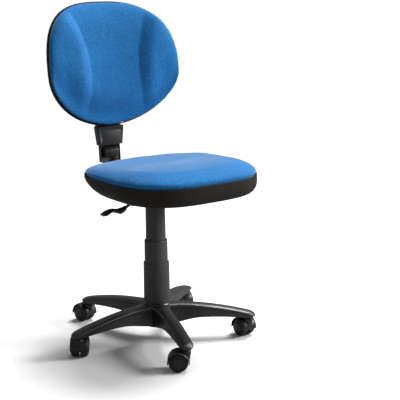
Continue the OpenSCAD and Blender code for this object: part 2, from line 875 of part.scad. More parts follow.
// Block that slides on the bar, shaped in front to the board
module height_guide() {
    color([0.12, 0.12, 0.12]) difference() {
        intersection() {
            in_bar() wide_box(guide_w + 20, -60, guide_rear, guide_low, guide_top);
            union() {
                in_bar() wide_box(guide_w, -60, guide_rear, guide_low, guide_top);
                in_back() wide_box(guide_w + 20, 0, board_rear + 4, -200, 0);
            }
        }
        in_bar() wide_box(bar_w + 2 * slide_gap, -bar_t / 2 - slide_gap,
                          bar_t / 2 + slide_gap, guide_low - cut, guide_top + cut);
        in_back() translate([0, -back_r, -200])
            cylinder(h = 300, r = back_r + board_rear, $fn = 180);
        in_back() at_guide_screws() cylinder(h = 60, r = 2.5);
    }
}

module guide_screws() {
    seat_y = board_rear + 4;
    color([0.5, 0.5, 0.52]) in_back() at_guide_screws() {
        translate([0, 0, board_y - 0.5]) cylinder(h = seat_y - board_y + 0.5, r = 2.5);
        translate([0, 0, seat_y]) cylinder(h = 3, r = 4.5);
    }
}

module back_board() {
    color([0.72, 0.55, 0.36]) in_back() difference() {
        back_slab(board_y, board_rear, 22);
        at_guide_screws() cylinder(h = 60, r = 2.5);
        at_shell_screws() translate([0, 0, back_r]) cylinder(h = 60, r = 2);
    }
}

module back_cushion() {
    color([0.1, 0.25, 0.55]) in_back() {
        back_slab(-pad_front, rim_y - soft_gap, 0);
        back_slab(rim_y - cut, board_y, rim_wall + soft_gap + 0.7);
    }
}

module back_shell() {
    inner = pocket_depth - shell_t;
    color([0.07, 0.07, 0.08]) in_back() difference() {
        union() {
            difference() {
                back_slab(rim_y, shell_y + shell_t, 0);
                back_slab(rim_y - cut, shell_y, rim_wall);
            }
            intersection() {
                wide_box(pocket_w, shell_y, pocket_depth, -400, pocket_top);
                rotate([90, 0, 0]) linear_extrude(height = 600, center = true) back_outline(0);
            }
        }
        wide_box(pocket_w - 2 * shell_t, rim_y - cut, inner, -400, pocket_top - shell_t);
        at_shell_screws() translate([0, 0, back_r]) cylinder(h = 60, r = 2.3);
    }
}

module back_shell_screws() {
    color([0.3, 0.3, 0.3]) in_back() at_shell_screws() {
        translate([0, 0, back_r + board_y + 0.5])
            cylinder(h = shell_y + shell_t - board_y - 0.5, r = 2);
        translate([0, 0, back_r + shell_y + shell_t]) cylinder(h = 2, r = 4.5);
    }
}

star_base();
gas_lift_tube();
lift_guide_bush();
thrust_bearing();
piston_rod();
lift_piston();
rod_clip();
gas_cylinder();
release_button();
cover_lower();
cover_middle();
cover_upper();
caster_housing(0);  // caster_housing_1
caster_stem(0);  // caster_stem_1
caster_axle(0);  // caster_axle_1
caster_wheel(0, 1);  // wheel_left_1
caster_wheel(0, -1);  // wheel_right_1
caster_housing(1);  // caster_housing_2
caster_stem(1);  // caster_stem_2
caster_axle(1);  // caster_axle_2
caster_wheel(1, 1);  // wheel_left_2
caster_wheel(1, -1);  // wheel_right_2
caster_housing(2);  // caster_housing_3
caster_stem(2);  // caster_stem_3
caster_axle(2);  // caster_axle_3
caster_wheel(2, 1);  // wheel_left_3
caster_wheel(2, -1);  // wheel_right_3
caster_housing(3);  // caster_housing_4
caster_stem(3);  // caster_stem_4
caster_axle(3);  // caster_axle_4
caster_wheel(3, 1);  // wheel_left_4
caster_wheel(3, -1);  // wheel_right_4
caster_housing(4);  // caster_housing_5
caster_stem(4);  // caster_stem_5
caster_axle(4);  // caster_axle_5
caster_wheel(4, 1);  // wheel_left_5
caster_wheel(4, -1);  // wheel_right_5
mechanism_housing();
lift_socket();
recline_pin();
recline_spring();
lever_rod();
lever_pin();
lever_handle();
seat_bolts();
seat_shell();
seat_board();
tee_nuts();
arm_inserts();
seat_cushion();
back_bar();
bar_bracket();
upright_sleeve_lower();
upright_sleeve_upper();
height_guide();
guide_screws();
back_board();
back_cushion();
back_shell();
back_shell_screws();
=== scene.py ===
import bpy
import bmesh
import json
import math
import numpy as np
from mathutils import Matrix, Vector


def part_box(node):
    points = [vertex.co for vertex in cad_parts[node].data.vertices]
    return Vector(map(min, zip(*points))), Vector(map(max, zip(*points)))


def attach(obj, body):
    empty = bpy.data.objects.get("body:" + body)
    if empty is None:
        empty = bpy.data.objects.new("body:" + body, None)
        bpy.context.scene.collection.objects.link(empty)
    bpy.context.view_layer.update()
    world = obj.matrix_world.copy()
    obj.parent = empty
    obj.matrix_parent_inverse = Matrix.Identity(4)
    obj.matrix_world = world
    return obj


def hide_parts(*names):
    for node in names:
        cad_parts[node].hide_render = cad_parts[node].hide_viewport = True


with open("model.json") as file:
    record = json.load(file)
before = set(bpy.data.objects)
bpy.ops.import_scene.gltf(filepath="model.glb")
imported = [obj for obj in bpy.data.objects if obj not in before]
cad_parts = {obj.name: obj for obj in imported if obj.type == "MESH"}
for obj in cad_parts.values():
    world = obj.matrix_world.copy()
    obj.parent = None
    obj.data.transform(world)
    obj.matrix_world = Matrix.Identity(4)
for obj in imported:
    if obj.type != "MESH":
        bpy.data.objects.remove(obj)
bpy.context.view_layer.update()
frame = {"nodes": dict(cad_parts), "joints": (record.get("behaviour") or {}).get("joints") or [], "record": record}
joints = {joint["name"]: joint for joint in frame["joints"]}
print("frame loaded:", len(frame["nodes"]), "nodes")


# small helpers

def middle(node):
    low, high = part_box(node)
    return (low + high) / 2


def smoothStep(x):
    x = min(1, max(0, x))
    return x * x * (3 - 2 * x)


def hill(x, width):
    return math.exp(-(x / width) ** 2)


def roundPoint(halfWidth, halfHeight, power, turn):
    # a point of a rounded square
    c, s = math.cos(turn), math.sin(turn)
    return (halfWidth * math.copysign(abs(c) ** (2 / power), c),
            halfHeight * math.copysign(abs(s) ** (2 / power), s))


def sharpEdges(bm, degrees):
    limit = math.radians(degrees)
    return [e for e in bm.edges if len(e.link_faces) == 2 and e.calc_face_angle() > limit]


def roundEdges(bm, width, segments=3, degrees=35, edges=None):
    bmesh.ops.bevel(bm, geom=edges or sharpEdges(bm, degrees), offset=width, offset_type="OFFSET",
                    affect="EDGES", segments=segments, profile=0.5, material=-1, clamp_overlap=True)


def mergeDoubles(bm, distance=0.00002):
    bmesh.ops.remove_doubles(bm, verts=bm.verts, dist=distance)
    bmesh.ops.recalc_face_normals(bm, faces=bm.faces)


def mapGrid(bm, around, along, place):
    # a grid whose corner (u, v), both 0 to 1, is put at place(u, v)
    made = bmesh.ops.create_grid(bm, x_segments=around, y_segments=along, size=0.5)["verts"]
    for v in made:
        v.co = place(v.co.x + 0.5, v.co.y + 0.5)
    return made


def spinProfile(bm, points, turn=2 * math.pi, steps=64, matrix=Matrix.Identity(4), closed=True):
    # points are (radius, height); the axis is Z, then the matrix puts the piece in place
    verts = [bm.verts.new((r, 0, z)) for r, z in points]
    pairs = list(zip(verts, verts[1:])) + ([(verts[-1], verts[0])] if closed else [])
    edges = [bm.edges.new(pair) for pair in pairs]
    whole = turn > 6.28
    made = bmesh.ops.spin(bm, geom=verts + edges, cent=(0, 0, 0), axis=(0, 0, 1), dvec=(0, 0, 0),
                          angle=turn, steps=steps, use_merge=whole, use_duplicate=False)
    if not whole:
        last = [g for g in made["geom_last"] if isinstance(g, bmesh.types.BMEdge)]
        bmesh.ops.contextual_create(bm, geom=edges)
        bmesh.ops.contextual_create(bm, geom=last)
    bmesh.ops.transform(bm, verts=bm.verts, matrix=matrix)
    mergeDoubles(bm)


def addBlock(bm, low, high, matrix=Matrix.Identity(4)):
    low, high = Vector(low), Vector(high)
    place = Matrix.Translation((low + high) / 2) @ Matrix.Diagonal((*(high - low), 1))
    return bmesh.ops.create_cube(bm, size=1, matrix=matrix @ place)["verts"]


def addRod(bm, start, end, r0, r1=None, segments=32, caps=True):
    # a round bar or a cone between two points
    start, end = Vector(start), Vector(end)
    turn = (end - start).to_track_quat("Z", "Y").to_matrix().to_4x4()
    place = Matrix.Translation((start + end) / 2) @ turn
    return bmesh.ops.create_cone(bm, cap_ends=caps, segments=segments, radius1=r0,
                                 radius2=r0 if r1 is None else r1,
                                 depth=(end - start).length, matrix=place)["verts"]


def join(bm, other):
    spare = bpy.data.meshes.new("spare")
    other.to_mesh(spare)
    other.free()
    bm.from_mesh(spare)
    bpy.data.meshes.remove(spare)


def shade(bm, degrees):
    # smooth faces, with the edges above an angle kept crisp
    for e in bm.edges:
        e.smooth = len(e.link_faces) != 2 or e.calc_face_angle() < math.radians(degrees)
    for f in bm.faces:
        f.smooth = True


def makePiece(name, bm, material, body, replaced=(), smooth=35):
    shade(bm, smooth)
    mesh = bpy.data.meshes.new(name)
    bm.to_mesh(mesh)
    bm.free()
    piece = bpy.data.objects.new(name, mesh)
    bpy.context.scene.collection.objects.link(piece)
    mesh.materials.append(material)
    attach(piece, body)
    if replaced:
        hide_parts(*replaced)
    return piece


def addModifier(piece, kind, **settings):
    modifier = piece.modifiers.new(kind.title(), kind)
    for key, value in settings.items():
        setattr(modifier, key, value)
    return modifier


# materials

def startMaterial(name, **sockets):
    material = bpy.data.materials.new(name)
    material.use_nodes = True
    tree = material.node_tree
    shader = tree.nodes["Principled BSDF"]
    for socket, value in sockets.items():
        shader.inputs[socket.replace("_", " ")].default_value = value
    coords = tree.nodes.new("ShaderNodeTexCoord")
    coords.location = (-1100, 0)
    shader.location = (200, 0)
    return material, tree, shader, coords.outputs["Object"]


def addNoise(tree, vector, scale, detail=3, roughness=0.5, stretch=None, place=(-700, 0)):
    if stretch:
        mapping = tree.nodes.new("ShaderNodeMapping")
        mapping.inputs["Scale"].default_value = stretch
        mapping.location = (place[0] - 180, place[1])
        tree.links.new(vector, mapping.inputs["Vector"])
        vector = mapping.outputs["Vector"]
    node = tree.nodes.new("ShaderNodeTexNoise")
    node.location = place
    node.inputs["Scale"].default_value = scale
    node.inputs["Detail"].default_value = detail
    node.inputs["Roughness"].default_value = roughness
    tree.links.new(vector, node.inputs["Vector"])
    return node.outputs["Fac"]


def addCells(tree, vector, scale, place=(-700, -300)):
    node = tree.nodes.new("ShaderNodeTexVoronoi")
    node.location = place
    node.inputs["Scale"].default_value = scale
    tree.links.new(vector, node.inputs["Vector"])
    return node.outputs["Distance"]


def addRamp(tree, value, stops, place=(-350, 0)):
    node = tree.nodes.new("ShaderNodeValToRGB")
    node.location = place
    for element, (position, color) in zip(node.color_ramp.elements, (stops[0], stops[-1])):
        element.position, element.color = position, (*color, 1)
    for position, color in stops[1:-1]:
        node.color_ramp.elements.new(position).color = (*color, 1)
    tree.links.new(value, node.inputs["Fac"])
    return node.outputs["Color"]


def addMix(tree, factor, a, b, blend="MIX", place=(-100, 0)):
    node = tree.nodes.new("ShaderNodeMix")
    node.data_type = "RGBA"
    node.blend_type = blend
    node.location = place
    for value, socket in ((factor, node.inputs[0]), (a, node.inputs[6]), (b, node.inputs[7])):
        if isinstance(value, bpy.types.NodeSocket):
            tree.links.new(value, socket)
        elif isinstance(value, tuple):
            socket.default_value = (*value, 1)
        else:
            socket.default_value = value
    return node.outputs[2]


def addRange(tree, value, low, high, place=(-350, -250)):
    node = tree.nodes.new("ShaderNodeMapRange")
    node.location = place
    node.inputs["From Min"].default_value = 0.3
    node.inputs["From Max"].default_value = 0.7
    node.inputs["To Min"].default_value = low
    node.inputs["To Max"].default_value = high
    tree.links.new(value, node.inputs["Value"])
    return node.outputs["Result"]


def addBump(tree, shader, height, distance, strength, after=None, place=(-100, -400)):
    node = tree.nodes.new("ShaderNodeBump")
    node.location = place
    node.inputs["Distance"].default_value = distance
    node.inputs["Strength"].default_value = strength
    tree.links.new(height, node.inputs["Height"])
    if after:
        tree.links.new(after, node.inputs["Normal"])
    tree.links.new(node.outputs["Normal"], shader.inputs["Normal"])
    return node.outputs["Normal"]


upholstery = {
    "shade": (0.006, 0.082, 0.270),
    "cloth": (0.010, 0.158, 0.430),
    "light": (0.024, 0.262, 0.600),
    "yarnScale": 900,
    "flecks": 420,
    "patches": 9,
}


def clothMaterial(name, values):
    # crepe wool: flecked yarn over slow patches of colour, with a soft nap
    material, tree, shader, vector = startMaterial(
        name, Roughness=0.85, Sheen_Weight=0.55, Sheen_Roughness=0.32,
        Sheen_Tint=(0.80, 0.90, 1.0, 1), Specular_IOR_Level=0.25)
    patches = addNoise(tree, vector, values["patches"], 2, place=(-700, 300))
    flecks = addNoise(tree, vector, values["flecks"], 5, 0.7, place=(-700, 0))
    base = addRamp(tree, flecks, [(0.36, values["shade"]), (0.50, values["cloth"]),
                                  (0.64, values["light"])], place=(-450, 0))
    slow = addRamp(tree, patches, [(0.3, (0.42, 0.42, 0.42)), (0.7, (0.58, 0.58, 0.58))],
                   place=(-450, 300))
    color = addMix(tree, 0.55, base, slow, "OVERLAY", place=(-150, 150))
    tree.links.new(color, shader.inputs["Base Color"])
    yarn = addCells(tree, vector, values["yarnScale"], place=(-700, -300))
    rough = addNoise(tree, vector, values["yarnScale"] * 0.6, 2, place=(-700, -550))
    first = addBump(tree, shader, yarn, 0.0004, 0.55, place=(-350, -350))
    addBump(tree, shader, rough, 0.0003, 0.4, first, place=(-100, -450))
    return material


def plasticMaterial(name, dark, light, roughness, grain=1500, depth=0.00012, strength=0.35, gloss=0.5,
                    scuff=0.06):
    # moulded plastic: fine spark texture, slow colour drift and rubbed patches
    material, tree, shader, vector = startMaterial(name, Specular_IOR_Level=gloss)
    drift = addNoise(tree, vector, 14, 4, 0.6, place=(-700, 300))
    speck = addNoise(tree, vector, 260, 3, 0.6, place=(-700, 80))
    tone = addMix(tree, 0.35, drift, speck, place=(-500, 200))
    color = addRamp(tree, tone, [(0.3, dark), (0.7, light)], place=(-320, 200))
    tree.links.new(color, shader.inputs["Base Color"])
    rubbed = addNoise(tree, vector, 38, 5, 0.65, place=(-700, -150))
    worn = addRange(tree, rubbed, roughness - scuff, roughness + scuff)
    tree.links.new(worn, shader.inputs["Roughness"])
    spark = addNoise(tree, vector, grain, 2, 0.6, place=(-700, -420))
    addBump(tree, shader, spark, depth, strength)
    return material


def metalMaterial(name, dark, light, roughness, brushed=(1, 1, 1), metallic=1.0, coat=0.0):
    material, tree, shader, vector = startMaterial(name, Metallic=metallic, Coat_Weight=coat)
    tone = addNoise(tree, vector, 45, 4, 0.6, place=(-700, 200))
    tree.links.new(addRamp(tree, tone, [(0.3, dark), (0.7, light)], place=(-350, 200)),
                   shader.inputs["Base Color"])
    rubbed = addNoise(tree, vector, 90, 4, 0.6, brushed, place=(-700, -150))
    worn = addRange(tree, rubbed, roughness - 0.07, roughness + 0.09)
    tree.links.new(worn, shader.inputs["Roughness"])
    fine = addNoise(tree, vector, 1200, 2, 0.5, brushed, place=(-700, -450))
    addBump(tree, shader, fine, 0.00006, 0.3)
    return material


def plywoodMaterial(name):
    material, tree, shader, vector = startMaterial(name, Roughness=0.7)
    grain = addNoise(tree, vector, 60, 6, 0.65, (0.12, 1, 6), place=(-600, 100))
    tree.links.new(addRamp(tree, grain, [(0.3, (0.42, 0.26, 0.12)), (0.5, (0.58, 0.39, 0.20)),
                                         (0.7, (0.68, 0.50, 0.29))]), shader.inputs["Base Color"])
    addBump(tree, shader, grain, 0.0003, 0.4)
    return material


finishes = {
    "base_nylon": plasticMaterial("baseNylon", (0.009, 0.0085, 0.008), (0.018, 0.017, 0.0165), 0.36,
                                  grain=1300, depth=0.00010, gloss=0.8),
    "hard_plastic": plasticMaterial("hardPlastic", (0.008, 0.008, 0.008), (0.016, 0.0155, 0.015), 0.42,
                                    gloss=0.4),
    "cover_plastic": plasticMaterial("coverPlastic", (0.046, 0.0455, 0.045), (0.066, 0.065, 0.064), 0.5,
                                     gloss=0.35),
    "caster_plastic": plasticMaterial("casterPlastic", (0.008, 0.008, 0.008), (0.018, 0.018, 0.017), 0.38,
                                      gloss=0.55),
    "wheel_nylon": plasticMaterial("wheelNylon", (0.009, 0.010, 0.009), (0.020, 0.021, 0.019), 0.42,
                                   gloss=0.5),
    "black_steel": metalMaterial("blackSteel", (0.010, 0.010, 0.010), (0.022, 0.021, 0.020), 0.42,
                                 metallic=0.3, coat=0.2),
    "bright_steel": metalMaterial("brightSteel", (0.45, 0.45, 0.46), (0.62, 0.62, 0.63), 0.3, (1, 1, 0.1)),
    "chromed_steel": metalMaterial("chromedSteel", (0.58, 0.58, 0.60), (0.72, 0.72, 0.74), 0.14,
                                   (1, 1, 0.05)),
    "bearing_plastic": plasticMaterial("bearingPlastic", (0.62, 0.61, 0.55), (0.74, 0.73, 0.68), 0.4),
    "plywood": plywoodMaterial("plywood"),
    "brass_insert": metalMaterial("brassInsert", (0.52, 0.36, 0.12), (0.70, 0.52, 0.22), 0.3),
    "seat_shell_plastic": plasticMaterial("seatShellPlastic", (0.011, 0.009, 0.0075),
                                          (0.021, 0.0175, 0.0145), 0.62, grain=900, depth=0.0002,
                                          gloss=0.2),
    "upholstery": clothMaterial("upholstery", upholstery),
}
print("materials made:", len(finishes))


# star base

starBase = {
    "legHalf": 0.0200,
    "crown": 0.0085,
    "lip": 0.0042,
    "lipIn": 0.0024,
    "draft": 0.0012,
    "fall": 0.036,
    "bow": 2.2,
    "arch": 0.007,
    "hubDrop": 0.009,
    "flare": 0.0085,
    "flareReach": 0.085,
    "wall": 0.0028,
    "ribPitch": 0.026,
    "hubRadius": 0.041,
    "bore": 0.0252,
    "socketRadius": 0.0115,
}


def buildStarBase(p):
    swivel = Vector(joints["caster_swivel_1"]["pos_m"])
    hubLow, hubTop = (corner.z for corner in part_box("star_base"))
    casterReach = swivel.xy.length
    tip = casterReach + p["legHalf"]
    crownTop = hubTop - 0.0035
    start = 0.034

    def legTop(x):
        return crownTop - p["fall"] * (x / tip) ** p["bow"]

    def legUnder(x):
        share = min(1, max(0, (x - p["hubRadius"]) / (tip - p["hubRadius"])))
        drop = p["hubDrop"] * (1 - smoothStep(share / 0.35))
        return swivel.z + p["arch"] * math.sin(math.pi * share) - drop

    def legPoint(u, v):
        across = 2 * v - 1
        side, share = math.copysign(1, across), abs(across)
        x = start + (casterReach - start) * min(1, u / 0.68)
        turn = max(0, (u - 0.68) / 0.32) * math.pi / 2
        near = max(0, (p["flareReach"] - x) / (p["flareReach"] - start))
        half = p["legHalf"] + p["flare"] * near ** 2
        edge = -p["lip"]
        if share < 0.5:
            lean = share * math.pi
            out, rise = half * math.sin(lean), p["crown"] * math.cos(lean) ** 0.85
        elif share < 0.62:
            t = (share - 0.5) / 0.12
            out, rise = half - p["lipIn"] * t ** 3, edge * t
        else:
            t = (share - 0.62) / 0.38
            out, rise = half - p["lipIn"] - 0.0012 - p["draft"] * t, None
        place = Vector((x + out * math.sin(turn), side * out * math.cos(turn), 0))
        brim = legTop(place.x) - p["crown"]
        if rise is None:
            place.z = brim + edge + (legUnder(place.x) - brim - edge) * t
        else:
            place.z = brim + rise
        return place

    whole = bmesh.new()
    for i in range(5):
        leg = bmesh.new()
        mapGrid(leg, 62, 50, legPoint)
        mergeDoubles(leg, 0.00015)
        bmesh.ops.solidify(leg, geom=leg.faces[:], thickness=p["wall"])
        x = p["hubRadius"] + p["ribPitch"]
        while x < casterReach - 0.012:
            inner = p["legHalf"] - p["lipIn"] - p["wall"]
            top = legTop(x + p["ribPitch"]) - p["crown"]
            addBlock(leg, (x, -inner, legUnder(x) + 0.004), (x + 0.002, inner, top))
            for y in (-inner / 3, inner / 3):
                addBlock(leg, (x - p["ribPitch"], y - 0.001, legUnder(x) + 0.006),
                         (x, y + 0.001, top))
            x += p["ribPitch"]
        addRod(leg, (casterReach, 0, swivel.z), (casterReach, 0, legTop(casterReach) - 0.004),
               p["socketRadius"])
        place = Vector(joints[f"caster_swivel_{i + 1}"]["pos_m"])
        bmesh.ops.transform(leg, matrix=Matrix.Rotation(math.atan2(place.y, place.x), 4, "Z"),
                            verts=leg.verts)
        join(whole, leg)
    hub = bmesh.new()
    r = p["hubRadius"]
    spinProfile(hub, [(p["bore"], hubLow), (r - 0.001, hubLow), (r, crownTop - 0.012),
                      (r - 0.002, crownTop - 0.002), (r - 0.0065, hubTop), (p["bore"], hubTop)],
                steps=80)
    roundEdges(hub, 0.0015, 3, 20)
    join(whole, hub)
    return makePiece("starBase", whole, finishes["base_nylon"], "base",
                     ["star_base"], 32)


buildStarBase(starBase)
print("star base built")


# telescopic covers

coverSet = {
    "wall": 0.002,
    "taper": 0.0011,
    "lip": 0.004,
    "rim": 0.0022,
    "steps": 112,
}


def buildCover(name, node, body, footRadius, lipRadius, roundFoot):
    p = coverSet
    low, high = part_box(node)
    radius = footRadius
    top = radius - p["taper"]
    bm = bmesh.new()
    profile = [(radius - p["wall"], low.z), (radius, low.z), (top, high.z)]
    if lipRadius < top - p["wall"]:
        profile += [(lipRadius, high.z), (lipRadius, high.z - p["lip"]),
                    (top - p["wall"], high.z - p["lip"])]
    else:
        profile += [(top - p["wall"], high.z)]
    spinProfile(bm, profile, steps=p["steps"])
    outer = [e for e in sharpEdges(bm, 40) if abs(e.verts[0].co.xy.length - top) < 0.0003
             and abs(e.verts[0].co.z - high.z) < 0.0001 and abs(e.verts[1].co.z - high.z) < 0.0001]
    if roundFoot:
        outer += [e for e in sharpEdges(bm, 40) if abs(e.verts[0].co.xy.length - radius) < 0.0003
                  and max(v.co.z for v in e.verts) < low.z + 0.0001]
    inner = p["rim"] * (1.0 if lipRadius < top - p["wall"] else 0.4)
    roundEdges(bm, inner, 4, edges=outer)
    return makePiece(name, bm, finishes["cover_plastic"], body, [node], 40)


upperRadius = 0.0285
middleRadius = 0.0335
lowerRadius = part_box("cover_lower")[1].x
buildCover("coverLower", "cover_lower", "base", lowerRadius, middleRadius + 0.0004, True)
buildCover("coverMiddle", "cover_middle", "middle_cover", middleRadius, upperRadius + 0.0004, False)
buildCover("coverUpper", "cover_upper", "seat", upperRadius, upperRadius, False)
print("covers built")


# casters

caster = {
    "hoodOuter": 0.0300,
    "hoodInner": 0.0272,
    "web": 0.0070,
    "axleBoss": 0.0118,
    "stemHole": 0.0056,
    "boss": 0.0105,
    "neck": 0.0135,
    "wheelRadius": 0.0260,
    "capRadius": 0.0172,
    "wheelWidth": 0.0205,
    "bore": 0.0032,
}


def buildHood(p, axleZ, bossTop, trail, halfWidth):
    # local frame: stem on Z, wheels at +X, axle along Y
    bm = bmesh.new()
    arch = bmesh.new()
    w, ro, ri = halfWidth, p["hoodOuter"], p["hoodInner"]
    profile = [(ri, -w), (ro - 0.0030, -w), (ro - 0.0008, -w + 0.0028), (ro, -w + 0.009),
               (ro, w - 0.009), (ro - 0.0008, w - 0.0028), (ro - 0.0030, w), (ri, w)]
    lie = Matrix.Translation((trail, 0, axleZ)) @ Matrix.Rotation(math.radians(-90), 4, "X")
    spinProfile(arch, profile, turn=math.radians(196), steps=40,
                matrix=lie @ Matrix.Rotation(math.radians(172), 4, "Z"))
    roundEdges(arch, 0.0007, 2, 40)
    join(bm, arch)
    web = bmesh.new()
    half, around = p["web"] / 2, p["axleBoss"]
    addRod(web, (trail, -half, axleZ), (trail, half, axleZ), around, segments=48)
    addBlock(web, (trail - around, -half, axleZ), (trail + around, half, axleZ + 0.027))
    addBlock(web, (trail - 0.0265, -half, axleZ + 0.001), (trail, half, axleZ + 0.0185))
    roundEdges(web, 0.0008, 2, 50)
    join(bm, web)
    boss = bmesh.new()
    hole, foot = p["stemHole"], axleZ + 0.006
    spinProfile(boss, [(hole, foot), (p["boss"], foot), (p["neck"], axleZ + 0.024),
                       (p["neck"], bossTop - 0.002), (p["boss"], bossTop), (hole, bossTop)], steps=40)
    roundEdges(boss, 0.0009, 3, 25)
    join(bm, boss)
    return bm


def buildWheel(p):
    # axle on Z, outer face upwards
    r, w, cap = p["wheelRadius"], p["wheelWidth"], p["capRadius"]
    bm = bmesh.new()
    spinProfile(bm, [
        (0, w - 0.0041), (p["bore"], w - 0.0041), (p["bore"], 0.0002), (0.0078, 0.0002),
        (0.0086, 0.0030),
        (r - 0.0050, 0.0034), (r - 0.0040, 0.0006), (r - 0.0016, 0), (r, 0.0016), (r, w - 0.0085),
        (r - 0.0012, w - 0.0048), (r - 0.0036, w - 0.0024), (cap + 0.0024, w - 0.0012),
        (cap + 0.0014, w - 0.0014), (cap + 0.0007, w - 0.0026), (cap, w - 0.0026),
        (cap - 0.0003, w - 0.0006), (cap - 0.0013, w + 0.0001), (cap * 0.6, w + 0.0006),
        (0.004, w + 0.0007), (0, w + 0.0007)],
        steps=72, closed=False)
    roundEdges(bm, 0.00035, 2, 38)
    return bm


def placeCaster(i):
    stem = middle(f"caster_stem_{i}")
    axle = middle(f"caster_axle_{i}")
    ahead = Vector((axle.x - stem.x, axle.y - stem.y, 0))
    frameMatrix = Matrix.Translation((stem.x, stem.y, 0)) @ \
        Matrix.Rotation(math.atan2(ahead.y, ahead.x), 4, "Z")
    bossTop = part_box(f"caster_housing_{i}")[1].z
    hood = buildHood(caster, axle.z, bossTop, ahead.length, 0.0245)
    bmesh.ops.transform(hood, matrix=frameMatrix, verts=hood.verts)
    makePiece(f"casterHood{i}", hood, finishes["caster_plastic"], f"caster_{i}",
              [f"caster_housing_{i}"], 38)
    for side, word in ((1, "left"), (-1, "right")):
        wheel = buildWheel(caster)
        lie = Matrix.Translation((ahead.length, side * 0.004, axle.z)) @ \
            Matrix.Rotation(math.radians(-90 * side), 4, "X")
        bmesh.ops.transform(wheel, matrix=frameMatrix @ lie, verts=wheel.verts)
        makePiece(f"{word}Wheel{i}", wheel, finishes["wheel_nylon"],
                  f"wheel_{word}_{i}", [f"wheel_{word}_{i}"], 38)


for number in range(1, 6):
    placeCaster(number)
print("casters built")


# mechanism under the seat

def refine(name, node, slot, body, width, degrees=40, segments=2):
    # the CAD piece again, with its edges rounded over
    bm = bmesh.new()
    bm.from_mesh(frame["nodes"][node].data)
    mergeDoubles(bm, 0.00001)
    bmesh.ops.dissolve_limit(bm, angle_limit=math.radians(1), verts=bm.verts, edges=bm.edges)
    roundEdges(bm, width, segments, degrees)
    return makePiece(name, bm, finishes[slot], body, [node], 30)


refine("mechanismBox", "mechanism_housing", "black_steel", "seat", 0.0006)
refine("barEars", "bar_bracket", "black_steel", "back_arm", 0.0006)
refine("backBar", "back_bar", "black_steel", "back_arm", 0.0009, 50)
refine("heightGuide", "height_guide", "hard_plastic", "backrest", 0.0007)

leverGrip = {
    "halfWidth": 0.0115,
    "thick": 0.0125,
    "wave": 0.0040,
    "prong": 0.0048,
    "steps": 30,
}


def buildGrip(p):
    low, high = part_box("lever_handle")
    length = high.x - low.x
    rootZ, tipZ = high.z - 0.0052, low.z + 0.0095
    bm = bmesh.new()

    def gripPoint(u, v):
        # u runs round the section, v from the root to the tip
        s = v
        end = 1 if s < 0.9 else math.sqrt(max(0, 1 - ((s - 0.9) / 0.1) ** 2)) * 0.75 + 0.25
        half = p["halfWidth"] * (0.62 + 0.20 * smoothStep(s / 0.3) - 0.24 * hill(s - 0.48, 0.16)
                                 + 0.34 * smoothStep((s - 0.55) / 0.3)) * end
        thick = p["thick"] / 2 * (1.05 + 0.35 * hill(s - 0.22, 0.16) - 0.30 * s) * end
        y, z = roundPoint(half, thick, 2.6, -2 * math.pi * u)
        rise = -p["wave"] * math.sin(6.9 * s)
        return Vector((high.x - length * 0.9 * s, y, rootZ + (tipZ - rootZ) * s + rise + z))

    mapGrid(bm, 28, p["steps"], gripPoint)
    mergeDoubles(bm, 0.00002)
    for side in (-1, 1):
        def prongPoint(u, v):
            s = v
            end = math.sqrt(max(0.0004, 1 - (max(0, s - 0.55) / 0.45) ** 2))
            y, z = roundPoint(p["prong"] * end, 0.0036 * end, 2.4, -2 * math.pi * u)
            at = 0.74 + 0.26 * s
            rise = -p["wave"] * math.sin(6.9 * min(at, 0.95))
            return Vector((high.x - length * at, side * (0.0052 + 0.0014 * s) + y,
                           rootZ + (tipZ - rootZ) * at + rise - 0.0015 * s * s + z))
        prong = bmesh.new()
        mapGrid(prong, 24, 16, prongPoint)
        mergeDoubles(prong, 0.00002)
        join(bm, prong)
    bmesh.ops.holes_fill(bm, edges=[e for e in bm.edges if e.is_boundary], sides=0)
    bmesh.ops.recalc_face_normals(bm, faces=bm.faces)
    return makePiece("leverGrip", bm, finishes["hard_plastic"], "lever",
                     ["lever_handle"], 60)


buildGrip(leverGrip)
print("mechanism built")


# upright sleeves

sleeve = {
    "foot": (0, 0.2460, 0.5924),
    "lean": 4,
    "upperLowHalf": 0.0365,
    "upperTopHalf": 0.0425,
    "tongueHalf": 0.0380,
    "tongueTop": 0.0340,
    "tongueLow": -0.0055,
    "tongueFront": -0.0090,
    "slotHalf": 0.0275,
    "slotFront": -0.0045,
    "slotRear": 0.0055,
    "upperLow": -0.0590,
    "upperTop": -0.0030,
    "upperFront": -0.0210,
    "upperRear": 0.0095,
    "lowerHalf": 0.0330,
    "lowerLow": -0.1090,
    "lowerTop": -0.0330,
    "lowerFront": -0.0090,
    "lowerRear": 0.0060,
    "latchHalf": 0.0235,
    "latchFront": -0.0160,
    "latchLow": -0.0920,
    "latchTop": -0.0610,
}
barFrame = Matrix.Translation(Vector(sleeve["foot"])) @ \
    Matrix.Rotation(math.radians(-sleeve["lean"]), 4, "X")


def facing(bm, direction):
    return max(bm.faces, key=lambda f: f.normal.dot(Vector(direction)) * 10 + f.calc_area())


